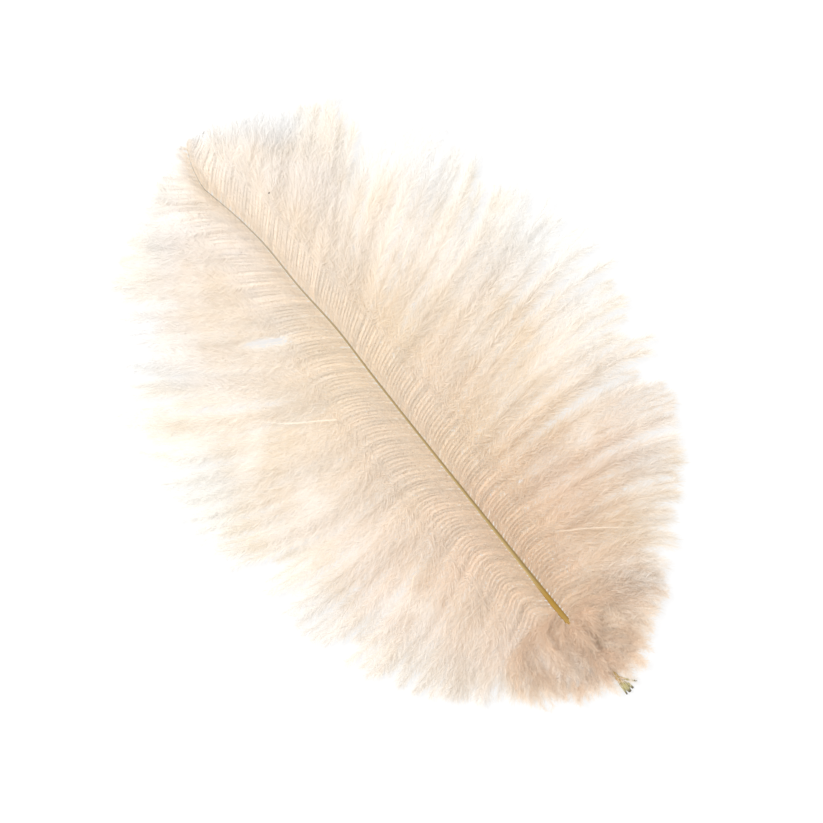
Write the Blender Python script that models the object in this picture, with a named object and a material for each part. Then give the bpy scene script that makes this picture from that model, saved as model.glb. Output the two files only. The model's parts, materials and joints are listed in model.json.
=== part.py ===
"""Ostrich feather: a shaft, a soft vane down each side of it and a tuft of down at the quill.

The feather lies on its flat underside with its tip toward +Y and the outer side of its shaft
arched up from the surface. Two measures place everything, both in millimetres: s runs from the
tip back to the cut end of the quill, and x runs across, positive to the right.
"""
import math

import bpy
import numpy as np

MM = 0.001

# Driving dimensions, in millimetres
LENGTH = 222.0  # tip to the cut end of the quill
CENTRE_X = 2.8  # middle of the feather's width, right of the line between its two ends
CENTRE_S = 110.75  # middle of its length
GAP = 0.3  # clearance between neighbouring pieces

# The shaft: how far it strays sideways, how high it arches, and how thick it is
SHAFT_SWAY = [
    (0, -0.4), (5, -2.7), (10, -4.0), (14, -4.5), (18, -3.8), (25, -2.5), (37, -1.0),
    (58, -0.8), (75, 0.0), (91, -0.5), (125, -1.1), (168, -1.6), (190, -1.9), (222, -0.4),
]
SHAFT_ARCH = [
    (0, 0.7), (20, 2.6), (60, 6.2), (110, 8.2), (150, 7.2), (185, 4.0), (205, 1.9),
    (216, 1.3), (222, 0.8),
]
SHAFT_HALF_WIDTH = [
    (0, 0.16), (30, 0.26), (75, 0.38), (125, 0.52), (168, 0.75), (190, 0.95), (214, 0.85),
    (217, 1.1), (222, 2.6),
]
SHAFT_HALF_HEIGHT = [
    (0, 0.14), (30, 0.24), (75, 0.38), (125, 0.55), (168, 0.80), (190, 0.95), (214, 0.85),
    (222, 0.55),
]
SHAFT_SECTIONS = 56
SHAFT_SIDES = 16
GROOVE_DEPTH = 0.30  # of the half height, along the rachis only
GROOVE_END = (168, 184)  # the groove fades out between these two stations
SPLIT_LENGTH = 4.2  # the splits in the frayed end of the quill
SPLIT_WIDTH = 0.9
SPLIT_OFFSETS = (-0.75, 0.95)  # of the two splits, from the middle of the shaft

# The vanes: each barb's root on the shaft, and where its tip reaches (root s, tip x, tip s)
RIGHT_BARBS = [
    (1.5, 4, -0.5), (17, 12, 3), (27, 19, 6), (51, 36, 15.5), (66, 46, 24), (71.5, 38, 38),
    (79, 59, 42), (88, 63, 55), (103, 72, 78), (119, 77, 104), (134, 74, 130), (147, 68, 152),
    (160, 59, 170), (174, 47, 187), (187.5, 35, 200),
]
LEFT_BARBS = [
    (1.5, 4, -0.5), (14, 12, 3), (23, 20, 8), (48, 39, 18), (67, 50, 31), (91, 63, 52),
    (111, 71, 85), (127, 70, 110), (142, 63, 140), (154, 58, 162), (171, 47, 185),
    (187.5, 35, 200),
]
ROOT_ANGLE = {"right": 39, "left": 50}  # degrees between a barb's first run and the shaft
ROOT_RUN = 0.22  # of the barb's reach that keeps to that first direction
STRAIGHT_BY = (140, 187.5)  # the bend at the root eases away between these two stations
LOCKS = 30  # clumps of barbs down each vane
STATIONS_PER_LOCK = 3
BARB_POINTS = 8
LOCK_NOTCH = 0.07  # of a barb's reach, cut back between two locks
LOCK_DIP = 0.22  # of the vane's height, lost between two locks
EDGE_HEIGHT = 1.0  # of the vane at the barbs' tips
SWELL = 0.16  # of the vane's height, gained part way along the barbs
VANE_FALL = 1.5  # how late along a barb the vane thins: 1 is an even slope

# The down: a fan of rays behind the vanes, from a round mouth that the shaft dives into
MOUTH_S = 188.8
MOUTH_RADIUS = 2.2
DOWN_EDGE = [(0.0, 34.7, 200.7), (0.16, 27, 207), (0.34, 13, 213), (0.5, 0, 215.5)]
DOWN_RAYS = 31
DOWN_SIDE_HEIGHT = 4.4  # next to the vanes
DOWN_TOP_HEIGHT = 6.4  # over the shaft
DOWN_FALL = 2.5


def through(points, at, column=1):
    """Value of a smooth curve through hand-placed points, at the given station."""
    table = np.array(points, dtype=float)
    keys, values = table[:, 0], table[:, column]
    slopes = np.gradient(values, keys)
    at = min(max(at, keys[0]), keys[-1])
    i = min(max(int(np.searchsorted(keys, at)) - 1, 0), len(keys) - 2)
    span = keys[i + 1] - keys[i]
    t = (at - keys[i]) / span
    rise = values[i + 1] - values[i]
    start, end = slopes[i] * span, slopes[i + 1] * span
    return float(
        values[i] + start * t + (3 * rise - 2 * start - end) * t**2 + (start + end - 2 * rise) * t**3
    )


def smooth_step(low, high, value):
    t = min(max((value - low) / (high - low), 0.0), 1.0)
    return t * t * (3 - 2 * t)


def world(x, s, z):
    """A place on the feather, in the part's own frame and in metres."""
    return ((x - CENTRE_X) * MM, (CENTRE_S - s) * MM, z * MM)


def loft(name, rings, collection):
    """A closed skin over rings that all have the same number of points."""
    count = len(rings[0])
    points = [world(*point) for ring in rings for point in ring]
    faces = [tuple(range(count)), tuple(range(len(points) - count, len(points)))]
    for i in range(len(rings) - 1):
        for j in range(count):
            k = (j + 1) % count
            faces.append((i * count + j, i * count + k, (i + 1) * count + k, (i + 1) * count + j))
    mesh = bpy.data.meshes.new(name)
    mesh.from_pydata(points, [], faces)
    part = bpy.data.objects.new(name, mesh)
    collection.objects.link(part)
    face_outward(part)
    return part


def face_outward(part):
    """Turns every face's front to the outside of the closed skin."""
    bpy.context.view_layer.objects.active = part
    bpy.ops.object.mode_set(mode="EDIT")
    bpy.ops.mesh.select_all(action="SELECT")
    bpy.ops.mesh.normals_make_consistent(inside=False)
    bpy.ops.object.mode_set(mode="OBJECT")


def material(name, color, roughness):
    made = bpy.data.materials.new(name)
    made.use_nodes = True
    shader = made.node_tree.nodes["Principled BSDF"]
    shader.inputs["Base Color"].default_value = (*color, 1)
    shader.inputs["Roughness"].default_value = roughness
    shader.inputs["Metallic"].default_value = 0.0
    made.diffuse_color = (*color, 1)
    return made


def hide_cutter(cutter):
    cutter.hide_render = True
    cutter.display_type = "WIRE"


def cut(part, cutter):
    modifier = part.modifiers.new(cutter.name, "BOOLEAN")
    modifier.operation = "DIFFERENCE"
    modifier.solver = "EXACT"
    modifier.object = cutter


def shaft_ring(s, spare=0.0, grooved=True):
    """Cross-section of the shaft at one station, made larger all round by the spare."""
    middle = through(SHAFT_SWAY, s)
    height = through(SHAFT_ARCH, s)
    half_width = through(SHAFT_HALF_WIDTH, s) + spare
    half_height = through(SHAFT_HALF_HEIGHT, s) + spare
    depth = GROOVE_DEPTH * (1 - smooth_step(*GROOVE_END, s)) if grooved else 0.0
    ring = []
    for i in range(SHAFT_SIDES):
        angle = 2 * math.pi * i / SHAFT_SIDES
        level = math.sin(angle)
        if i == SHAFT_SIDES // 4:
            level -= depth
        ring.append((middle + half_width * math.cos(angle), s, height + half_height * level))
    return ring


def make_shaft(parts, cutters):
    stations = np.linspace(0.5, LENGTH, SHAFT_SECTIONS)
    shaft = loft("shaft", [shaft_ring(s) for s in stations], parts)
    for number, offset in enumerate(SPLIT_OFFSETS, start=1):
        bpy.ops.mesh.primitive_cylinder_add(vertices=3, radius=1, depth=1)
        wedge = bpy.context.object
        wedge.name = f"quill_split_{number}"
        wedge.scale = (SPLIT_WIDTH * MM, SPLIT_LENGTH * MM, 8 * MM)
        middle = through(SHAFT_SWAY, LENGTH)
        wedge.location = world(middle + offset, LENGTH, 0)
        for home in list(wedge.users_collection):
            home.objects.unlink(wedge)
        cutters.objects.link(wedge)
        hide_cutter(wedge)
        cut(shaft, wedge)
    return shaft


def barb_line(side, barbs, station, notch):
    """Points from a barb's root beside the shaft to its tip, seen from above."""
    sign = 1 if side == "right" else -1
    slope = (through(SHAFT_SWAY, station + 0.5) - through(SHAFT_SWAY, station - 0.5))
    clear = (through(SHAFT_HALF_WIDTH, station) + GAP) * math.hypot(1, slope)
    root = np.array([through(SHAFT_SWAY, station) + sign * clear, station])
    tip = np.array([sign * through(barbs, station), through(barbs, station, 2)])
    tip = root + (tip - root) * (1 - notch)
    angle = math.radians(ROOT_ANGLE[side])
    reach = np.linalg.norm(tip - root)
    bend = root + ROOT_RUN * reach * np.array([sign * math.sin(angle), -math.cos(angle)])
    straight = (root + tip) / 2
    bend += (straight - bend) * smooth_step(*STRAIGHT_BY, station)
    steps = np.linspace(0, 1, BARB_POINTS)[:, None]
    return (1 - steps) ** 2 * root + 2 * steps * (1 - steps) * bend + steps**2 * tip


def section(line, root_height, dip, fall):
    """Closed ring over one line of barbs: its top from root to tip, then its flat underside."""
    top = []
    for i, (x, s) in enumerate(line):
        t = i / (len(line) - 1)
        swell = 1 + SWELL * math.sin(math.pi * t)
        height = EDGE_HEIGHT + (root_height - EDGE_HEIGHT) * (1 - t**fall) * swell
        height *= 1 - dip * smooth_step(0.05, 0.5, t)
        top.append((x, s, height))
    underside = [(x, s, 0.0) for x, s in reversed(line)]
    return top + underside


def make_vane(side, barbs, parts):
    last = LOCKS * STATIONS_PER_LOCK
    rings = []
    for i in range(last + 1):
        station = barbs[0][0] + (barbs[-1][0] - barbs[0][0]) * i / last
        valley = i % STATIONS_PER_LOCK == 0 and 0 < i < last
        line = barb_line(side, barbs, station, LOCK_NOTCH if valley else 0.0)
        root_height = through(SHAFT_ARCH, station) + 0.2 * through(SHAFT_HALF_HEIGHT, station)
        rings.append(section(line, root_height, LOCK_DIP if valley else 0.0, VANE_FALL))
    return loft(f"{side}_vane", rings, parts)


def make_down(parts, cutters):
    middle = through(SHAFT_SWAY, MOUTH_S)
    first = math.atan2(DOWN_EDGE[0][1] - middle, DOWN_EDGE[0][2] - MOUTH_S)
    rings = []
    for i in range(DOWN_RAYS):
        share = i / (DOWN_RAYS - 1)
        sign = 1 if share < 0.5 else -1
        near = min(share, 1 - share)
        valley = i % 2 == 1
        angle = first * (1 - 2 * share)
        mouth = np.array([
            middle + MOUTH_RADIUS * math.sin(angle),
            MOUTH_S + MOUTH_RADIUS * math.cos(angle),
        ])
        tip = np.array([sign * through(DOWN_EDGE, near), through(DOWN_EDGE, near, 2)])
        if valley:
            tip = mouth + (tip - mouth) * (1 - LOCK_NOTCH)
        steps = np.linspace(0, 1, BARB_POINTS)[:, None]
        line = mouth + (tip - mouth) * steps
        crown = smooth_step(0.0, 0.5, near)
        height = DOWN_SIDE_HEIGHT + (DOWN_TOP_HEIGHT - DOWN_SIDE_HEIGHT) * crown
        rings.append(section(line, height, LOCK_DIP if valley else 0.0, DOWN_FALL))
    down = loft("base_down", rings, parts)
    stations = np.linspace(MOUTH_S - 5, 218, 14)
    bore = loft("shaft_bore", [shaft_ring(s, GAP, grooved=False) for s in stations], cutters)
    hide_cutter(bore)
    cut(down, bore)
    return down


def main():
    for leftover in list(bpy.data.objects):
        bpy.data.objects.remove(leftover, do_unlink=True)
    parts = bpy.data.collections.new("ostrich_feather")
    cutters = bpy.data.collections.new("cutters")
    bpy.context.scene.collection.children.link(parts)
    bpy.context.scene.collection.children.link(cutters)

    looks = {
        "shaft": material("horn", (0.42, 0.28, 0.09), 0.35),
        "left_vane": material("left_barbs", (0.93, 0.83, 0.69), 0.9),
        "right_vane": material("right_barbs", (0.93, 0.83, 0.69), 0.9),
        "base_down": material("down", (0.68, 0.50, 0.35), 0.95),
    }
    pieces = [
        make_shaft(parts, cutters),
        make_vane("left", LEFT_BARBS, parts),
        make_vane("right", RIGHT_BARBS, parts),
        make_down(parts, cutters),
    ]
    for piece in pieces:
        piece.data.materials.append(looks[piece.name])
        piece.data.shade_smooth()
        piece.data.set_sharp_from_angle(angle=math.radians(40))


main()
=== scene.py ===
"""The looks of a loose ostrich plume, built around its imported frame.

The file is laid out as a Blender add-on and run as a script. Shapes are worked out in the
feather's own measures, all in millimetres: x runs across it to the right, s runs from the tip
back to the cut end of the quill, and z is the height above the surface that it lies on.
"""

import json
import math

import bpy
import numpy as np
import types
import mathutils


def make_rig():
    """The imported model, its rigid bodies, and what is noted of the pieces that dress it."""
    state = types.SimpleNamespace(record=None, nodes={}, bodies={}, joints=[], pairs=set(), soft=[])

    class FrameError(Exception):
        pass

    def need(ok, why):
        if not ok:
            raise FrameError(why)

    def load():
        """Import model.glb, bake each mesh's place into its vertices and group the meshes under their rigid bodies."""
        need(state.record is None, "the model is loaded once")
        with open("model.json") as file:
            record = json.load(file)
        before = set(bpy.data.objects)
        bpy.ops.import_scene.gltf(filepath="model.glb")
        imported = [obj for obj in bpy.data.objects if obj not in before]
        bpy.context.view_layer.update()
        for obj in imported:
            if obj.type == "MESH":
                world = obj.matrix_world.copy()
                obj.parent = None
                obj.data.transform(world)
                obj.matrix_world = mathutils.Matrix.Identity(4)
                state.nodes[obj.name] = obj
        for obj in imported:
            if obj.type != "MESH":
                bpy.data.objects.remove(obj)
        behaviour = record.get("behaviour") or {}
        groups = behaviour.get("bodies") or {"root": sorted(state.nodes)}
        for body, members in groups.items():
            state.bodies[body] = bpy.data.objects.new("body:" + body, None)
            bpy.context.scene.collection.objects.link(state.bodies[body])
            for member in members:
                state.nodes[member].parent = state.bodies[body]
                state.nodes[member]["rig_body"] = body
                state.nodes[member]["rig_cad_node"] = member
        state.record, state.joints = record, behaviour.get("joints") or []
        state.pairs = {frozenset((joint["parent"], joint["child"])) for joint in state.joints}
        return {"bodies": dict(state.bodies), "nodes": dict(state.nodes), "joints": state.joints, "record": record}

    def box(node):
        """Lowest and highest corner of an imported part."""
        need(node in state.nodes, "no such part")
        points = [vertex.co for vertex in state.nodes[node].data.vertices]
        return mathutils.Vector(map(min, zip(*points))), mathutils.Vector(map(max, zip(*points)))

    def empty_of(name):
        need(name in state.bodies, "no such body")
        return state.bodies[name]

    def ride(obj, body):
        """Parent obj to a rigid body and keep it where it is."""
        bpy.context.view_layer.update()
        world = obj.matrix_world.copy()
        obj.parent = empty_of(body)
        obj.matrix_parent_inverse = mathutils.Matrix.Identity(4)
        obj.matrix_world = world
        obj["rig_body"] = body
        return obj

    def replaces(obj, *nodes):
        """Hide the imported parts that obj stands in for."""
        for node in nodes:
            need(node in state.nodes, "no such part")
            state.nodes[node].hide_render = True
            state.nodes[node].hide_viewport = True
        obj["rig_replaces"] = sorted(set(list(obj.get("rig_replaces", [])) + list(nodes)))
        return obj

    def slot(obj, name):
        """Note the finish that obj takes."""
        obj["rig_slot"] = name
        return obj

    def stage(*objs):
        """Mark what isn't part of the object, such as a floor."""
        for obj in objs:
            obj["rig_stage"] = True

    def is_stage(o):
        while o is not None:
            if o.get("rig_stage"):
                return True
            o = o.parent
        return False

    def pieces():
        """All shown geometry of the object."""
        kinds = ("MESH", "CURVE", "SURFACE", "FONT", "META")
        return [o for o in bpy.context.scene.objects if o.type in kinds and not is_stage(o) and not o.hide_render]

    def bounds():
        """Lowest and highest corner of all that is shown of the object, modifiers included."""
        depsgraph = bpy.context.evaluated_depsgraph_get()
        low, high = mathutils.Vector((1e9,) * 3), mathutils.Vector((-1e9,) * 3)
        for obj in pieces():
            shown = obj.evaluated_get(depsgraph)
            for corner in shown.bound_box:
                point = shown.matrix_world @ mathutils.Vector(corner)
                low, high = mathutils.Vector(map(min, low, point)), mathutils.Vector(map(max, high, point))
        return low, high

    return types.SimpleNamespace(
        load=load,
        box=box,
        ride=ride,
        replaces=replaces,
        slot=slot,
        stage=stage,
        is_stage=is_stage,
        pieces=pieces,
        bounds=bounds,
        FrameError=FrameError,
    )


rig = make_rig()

bl_info = {
    "name": "Ostrich Feather",
    "version": (1, 0, 0),
    "blender": (4, 5, 0),
    "location": "View3D > Sidebar > Feather",
    "description": "Builds a loose ostrich plume from separate barbs with fluffy barbules",
    "category": "Add Mesh",
}

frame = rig.load()
CAD_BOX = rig.bounds()
SHAFT_LOW, SHAFT_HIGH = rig.box("shaft")

MM = 0.001
LENGTH = 222.0  # tip to the cut end of the quill
CENTRE_X = 2.8  # the frame's middle lies this far right of the feather's centre line
BAKE_MAP = "OFBake"
UP = (0, 0, 1.0)
FLOOR_GREY = 0.26
CAMERA_TURN = -39.2  # degrees, so that the feather lies from upper left to lower right
LEFT_SEED, RIGHT_SEED, DOWN_SEED, STRAY_SEED = 11, 29, 53, 71

# The shaft's course: how far it strays sideways, how high it arches, how thick it is
SHAFT_SWAY = [
    (0, -0.4), (5, -2.7), (10, -4.0), (14, -4.5), (18, -3.8), (25, -2.5), (37, -1.0),
    (58, -0.8), (75, 0.0), (91, -0.5), (125, -1.1), (168, -1.6), (190, -1.9), (222, -0.4),
]
SHAFT_ARCH = [
    (0, 0.7), (20, 2.6), (60, 6.2), (110, 8.2), (150, 7.2), (185, 4.0), (205, 1.9),
    (216, 1.3), (222, 0.8),
]
SHAFT_HALF_WIDTH = [
    (0, 0.12), (30, 0.24), (75, 0.33), (125, 0.44), (168, 0.70), (190, 0.95), (208, 0.9),
    (214, 0.55), (217, 0.7),
]
SHAFT_HALF_HEIGHT = [
    (0, 0.12), (30, 0.24), (75, 0.38), (125, 0.55), (168, 0.80), (190, 0.95), (208, 0.85),
    (217, 0.55),
]
SHAFT_END = 216.5  # where the whole quill gives way to its split, flared end

# Each row sets one barb: root s on the shaft, tip x, tip s, then degrees from the way the tip
# points at its root and at its tip, then its elbow: how far out, how far towards the tip, degrees
TIP_X, TIP_S, ROOT_ANGLE, TIP_ANGLE, ELBOW_OUT, ELBOW_UP, ELBOW_ANGLE = range(1, 8)
RIGHT_BARBS = [
    (1.0, 2.5, -1.5, 30, 35, 0.8, 0.9, 34), (17, 13.5, 2.0, 38, 44, 4, 4.3, 42),
    (27, 21, 5.5, 40, 44, 6, 6.4, 44), (51, 36, 15, 41, 45, 8, 8.0, 46),
    (66, 45, 24, 41, 46, 8, 7.2, 50), (71.5, 41, 37, 41, 52, 8, 6.8, 51),
    (79, 60, 41, 41, 72, 8, 6.4, 54), (88, 64, 54, 41, 58, 9, 6.0, 62),
    (103, 73, 77, 41, 66, 9, 5.0, 72), (119, 78, 103, 41, 98, 9, 4.5, 79),
    (134, 75, 128, 41, 106, 9, 4.0, 83), (147, 70, 149, 43, 112, 9, 3.5, 87),
    (160, 61, 168, 45, 120, 9, 3.0, 92), (174, 48, 184, 50, 130, 8.5, 2.2, 100),
    (187, 34, 197, 60, 143, 7, 0.8, 114), (197, 19, 208, 80, 155, 4.5, -1.0, 132),
    (203, 6, 214, 100, 165, 3.0, -2.5, 150),
]
LEFT_BARBS = [
    (1.0, 2.5, -2.0, 26, 22, 0.8, 1.1, 30), (14, 13.5, 2.5, 28, 34, 2.5, 4.0, 34),
    (23, 21, 6.5, 36, 36, 4, 4.6, 42), (48, 41, 17, 45, 50, 9, 7.8, 52),
    (67, 54, 29, 47, 54, 12, 8.4, 66), (91, 66, 49, 47, 54, 15, 8.8, 84),
    (111, 74, 82, 47, 57, 16, 8.8, 93), (127, 73, 107, 47, 64, 16, 8.2, 97),
    (142, 68, 138, 47, 76, 15, 7.2, 102), (154, 63, 160, 46, 92, 11.5, 6.2, 106),
    (171, 49, 182, 46, 110, 10, 4.8, 120), (187, 35, 196, 52, 132, 8, 3.0, 134),
    (197, 20, 207.5, 75, 150, 5, 0.4, 146), (203, 7, 214, 100, 165, 3.0, -2.0, 155),
]
RIDGES_END = {"left": 22, "right": 16}  # how far out the barbs still show as separate ridges
SLEEK_END = {"left": 6.5, "right": 3}  # how far out their barbules lie along them
ZONES = (("tip", 0, 70), ("middle", 70, 125), ("foot", 125, 210))  # one mesh each, by root s

# Multipliers for the barbs' colour, by share of the way from the foot of the feather to its tip;
# the first is for the left vane, the down and the strays. They brown the foot, which is the
# feather's own colour, and from about 0.76 to 0.84 lift the colour a little: painted light
# against the shade among the layered barbs near the tip
FOOT_TINT_AND_TIP_LIGHT = [
    (0.0, (0.935, 0.855, 0.775)), (0.14, (0.95, 0.88, 0.805)), (0.22, (0.96, 0.89, 0.80)),
    (0.30, (0.965, 0.90, 0.825)), (0.42, (0.975, 0.935, 0.88)), (0.60, (0.985, 0.965, 0.92)),
    (0.76, (0.99, 0.98, 0.96)), (0.84, (1.0, 1.005, 1.02)), (0.93, (1.0, 1.0, 1.0)),
]
RIGHT_FOOT_TINT_AND_TIP_LIGHT = [
    (0.0, (0.94, 0.86, 0.785)), (0.14, (0.94, 0.865, 0.775)), (0.22, (0.935, 0.845, 0.75)),
    (0.30, (0.945, 0.86, 0.775)), (0.42, (0.98, 0.94, 0.885)), (0.60, (1.0, 0.99, 0.97)),
    (0.76, (1.01, 1.005, 0.995)), (0.84, (1.01, 1.015, 1.025)), (0.93, (1.0, 1.0, 1.0)),
]

BARB_PATCH, DOWN_PATCH, STRAY_PATCH = (0.90, 0.79, 0.62), (0.92, 0.81, 0.68), (0.90, 0.78, 0.62)
# Near-white of the painted light in patches on thin outer fluff, standing in for the bright floor seen through it
PAINTED_SEE_THROUGH_LIGHT = (0.985, 0.955, 0.92)

# How loose the vanes are: the stray of a root, as a share of the pitch; a barb's longest reach
# and its usual shortfall, as shares of the table's; and the s by which they are fully loose
ROOT_STRAY, FULL_REACH, SHORTFALL, LOOSE_BY = 0.12, 1.05, 0.07, 25
MOST_LOCKS = 150  # more than either side needs

# How barbules leave their barb, in degrees: near the shaft and further out, less at the barb's
# tip and where it is sleek; their scatter near the shaft and what is added further out
LEAN_NEAR, LEAN_FAR, LEAN_TIP, LEAN_SLEEK = 58, 31, 7, 30
LEAN_SCATTER, LEAN_MORE = 10, 8
DROOP, ROLL_SCATTER, ROLL_MORE = 25, 6, 28

# Tufts of down at the foot: root x, s; elbow x, s; tip x, s; height at the elbow; half width
TUFTS = [
    (-2.5, 188, -12, 191.5, -8, 212, 6.6, 2.2), (-3.5, 188, -18.5, 193, -18.5, 207, 4.2, 2.8),
    (-4, 187, -24, 192, -27, 201, 3.2, 1.8), (-2, 191, -5.5, 197, -4.5, 208, 5.2, 1.8),
    (-1.6, 192, -1.5, 198.5, -2, 211, 5.4, 2.0), (-0.8, 191, 4.5, 194.5, 6, 204, 5.4, 2.4),
    (-0.3, 189, 11, 192.5, 15, 205, 4.9, 2.8), (0, 188, 19, 191, 23, 200, 4.0, 3.2),
    (0.2, 187, 25, 190, 30, 196, 3.2, 3.2), (-1.5, 197, 3, 203, 8, 212.5, 2.4, 2.8),
    (-1.6, 199, -5, 205, -8, 213.5, 2.4, 2.6), (-2, 195, -13, 201, -16, 210, 2.2, 3.0),
    (-1, 196, 11, 202, 16, 209.5, 3.0, 3.0), (-2.5, 190, -21, 196, -25, 206, 3.0, 3.0),
    (-0.3, 190, 21, 194, 27, 204, 3.0, 2.4), (-1.7, 203, 0, 208, 2, 214.5, 2.8, 2.2),
    (-1.7, 201, -3, 208, -4, 215, 2.6, 2.0), (-1.8, 193, 0.5, 197, 1.5, 207, 5.0, 1.8),
    (-1.7, 202, -6, 208, -9, 215, 2.4, 2.4), (-1.7, 202, 5, 208, 8.5, 216, 2.4, 3.0),
    (-1.7, 207, 1.5, 212, 3.8, 217.5, 2.0, 1.8), (-1.7, 207, -4, 212, -5.5, 217, 2.0, 1.6),
    (-1.5, 200, 8, 206, 13, 213, 2.4, 2.8), (-1.7, 200, -10, 206, -14, 213, 2.2, 2.4),
    (-0.6, 193, 16, 198, 21.5, 206, 2.8, 2.6), (-2, 187.5, -6.5, 190.5, -7.5, 203, 4.2, 1.8),
]

# Where the bare shaft dives out of sight under the down, and where it is quite gone
BARE_END, HIDDEN_FROM = 188.5, 193.0

# The quill's splinters: centre line as x, s, z; half width along it; half thickness; how curled
SPLINTERS = [
    {"path": [(-1.6, 214, 1.3), (-1.3, 217, 1.3), (-1.6, 219.5, 1.1), (-1.85, 222.2, 0.8)],
     "half_width": [(0, 0.35), (0.5, 0.5), (0.8, 0.34), (1, 0.22)],
     "half_thickness": 0.16, "curl": -0.5},
    {"path": [(-1.5, 213.5, 1.5), (-0.9, 217, 1.5), (-0.65, 219.6, 1.3), (-0.5, 222.2, 0.9)],
     "half_width": [(0, 0.4), (0.45, 0.75), (0.75, 0.85), (1, 0.45)],
     "half_thickness": 0.15, "curl": -0.45},
    {"path": [(-1.3, 214.5, 1.1), (-0.5, 217.5, 1.0), (0.4, 219.8, 0.8), (0.9, 221.9, 0.55)],
     "half_width": [(0, 0.35), (0.5, 0.5), (0.8, 0.5), (1, 0.3)],
     "half_thickness": 0.12, "curl": -0.4},
    {"path": [(-1.2, 215, 1.5), (0.1, 217.0, 1.7), (1.6, 219.0, 1.6), (3.2, 220.8, 1.2)],
     "half_width": [(0, 0.3), (0.4, 0.34), (0.8, 0.32), (1, 0.2)],
     "half_thickness": 0.22, "curl": -0.2},
]

# Stray barbs that lie across the others: side, then x and s of both ends and of a middle point
STRAYS = [
    ("right", 23, 130, 35, 140, 46, 152), ("left", -18, 97, -28, 90, -39, 81),
    ("right", 30, 71, 37, 66.5, 45, 62), ("left", -30, 150, -38, 157, -45, 163),
    ("right", 14, 168, 25, 175.5, 35, 184),
]
STRAY_LIFT = 1.8  # above the barbs that they cross, to clear their fluff
SPECK, SPECK_SIZE = (10.5, 28.3), 0.62

# See-through partings: x, s, half length, half width, degrees
PARTINGS = [(-20.4, 63.9, 8.4, 0.8, 122)]


def through(points, at, column=1):
    """Values of a smooth curve through listed points, at the given stations."""
    table = np.array(points, dtype=float)
    keys, values = table[:, 0], table[:, column]
    slopes = np.gradient(values, keys)
    at = np.clip(np.asarray(at, dtype=float), keys[0], keys[-1])
    i = np.clip(np.searchsorted(keys, at) - 1, 0, len(keys) - 2)
    span = keys[i + 1] - keys[i]
    t = (at - keys[i]) / span
    rise = values[i + 1] - values[i]
    start, end = slopes[i] * span, slopes[i + 1] * span
    square, cube = 3 * rise - 2 * start - end, start + end - 2 * rise
    return values[i] + start * t + square * t**2 + cube * t**3


def smooth_step(low, high, value):
    """0 below low, 1 above high, and an S-shaped rise between them."""
    t = np.clip((value - low) / (high - low), 0.0, 1.0)
    return t * t * (3 - 2 * t)


def unit(vectors):
    """The same directions, one long."""
    return vectors / np.maximum(np.linalg.norm(vectors, axis=-1, keepdims=True), 1e-9)


def heading(angle, sign):
    """Directions in the plane, at an angle in degrees from the way the tip points."""
    turn = np.radians(angle)
    return np.stack([sign * np.sin(turn), -np.cos(turn), np.zeros_like(turn)], axis=-1)


def world(points):
    """Feather places (x, s, z) in millimetres, turned into the frame's metres."""
    x, s, z = np.asarray(points, dtype=float).T
    return np.stack([(x - CENTRE_X) * MM, SHAFT_LOW.y + (LENGTH - s) * MM, z * MM], axis=1)


class Soup:
    """Points, triangles and places on the bake map, gathered up and then made into one mesh."""

    def __init__(self):
        self.points, self.faces, self.places, self.count = [], [], [], 0

    def add(self, points, faces, places):
        """points n x 3, faces m x 3 into them, places n x 2 on the bake map."""
        self.points.append(points)
        self.faces.append(faces + self.count)
        self.places.append(places)
        self.count += len(points)

    def make(self, name, material, smooth=False):
        """One mesh object of everything gathered, in the frame's metres."""
        points = world(np.concatenate(self.points))
        faces = np.concatenate(self.faces)
        places = np.concatenate(self.places)
        mesh = bpy.data.meshes.new(name)
        mesh.vertices.add(len(points))
        mesh.vertices.foreach_set("co", points.astype(np.float32).ravel())
        mesh.loops.add(faces.size)
        mesh.loops.foreach_set("vertex_index", faces.astype(np.int32).ravel())
        mesh.polygons.add(len(faces))
        mesh.polygons.foreach_set("loop_start", np.arange(0, faces.size, 3, dtype=np.int32))
        layer = mesh.uv_layers.new(name=BAKE_MAP)
        layer.uv.foreach_set("vector", places[faces.ravel()].astype(np.float32).ravel())
        mesh.update(calc_edges=True)
        mesh.materials.append(material)
        (mesh.shade_smooth if smooth else mesh.shade_flat)()
        piece = bpy.data.objects.new(name, mesh)
        bpy.context.scene.collection.objects.link(piece)
        return piece


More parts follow.
